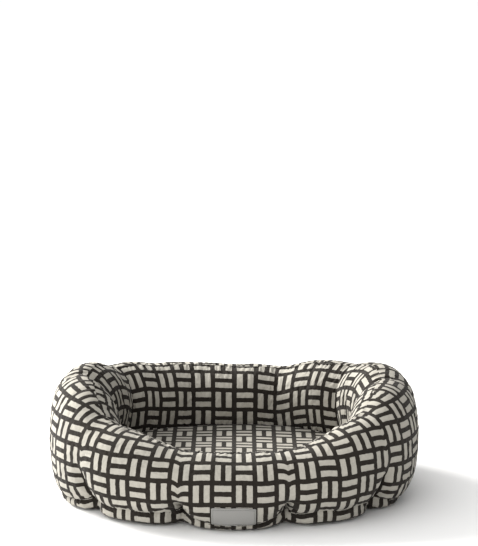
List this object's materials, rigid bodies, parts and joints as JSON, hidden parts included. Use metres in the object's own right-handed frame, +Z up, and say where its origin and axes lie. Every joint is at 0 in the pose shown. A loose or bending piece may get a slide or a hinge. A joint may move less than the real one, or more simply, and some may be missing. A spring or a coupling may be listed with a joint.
{
  "type": "pet cushion bed",
  "caption": "Oval cushion bed for a small pet, with a stuffed wall lower at the front, a quilted base drawn in by tufts, and a blank sewn label.",
  "frame": {"origin": "on the floor, under the middle of the bed's bounding box", "axes": "+X along the length, to the right of someone facing the front; +Y from the low front with the label to the back; +Z up"},
  "size_m": [0.5008, 0.412, 0.1652],
  "materials": {
    "printed_canvas": "dark brown-grey cotton canvas printed with a cream basketweave pattern, matt",
    "fiberfill": "white polyester fibrefill, matt and fluffy",
    "thread": "dark polyester sewing thread",
    "label_leather": "grey leatherette, blank, satin",
    "label_thread": "grey polyester thread"
  },
  "bodies": {
    "root": {"underside_panel": "printed_canvas", "floor_panel": "printed_canvas", "outer_wall_panel": "printed_canvas", "inner_wall_panel": "printed_canvas", "base_filling": "fiberfill", "crest_seam_thread": "thread", "base_seam_thread": "thread", "floor_seam_thread": "thread", "tuft_ties": "thread", "label": "label_leather", "label_stitching": "label_thread", "wall_filling_01": "fiberfill", "wall_filling_02": "fiberfill", "wall_filling_03": "fiberfill", "wall_filling_04": "fiberfill", "wall_filling_05": "fiberfill", "wall_filling_06": "fiberfill", "wall_filling_07": "fiberfill", "wall_filling_08": "fiberfill", "wall_filling_09": "fiberfill", "wall_filling_10": "fiberfill"}
  },
  "joints": []
}
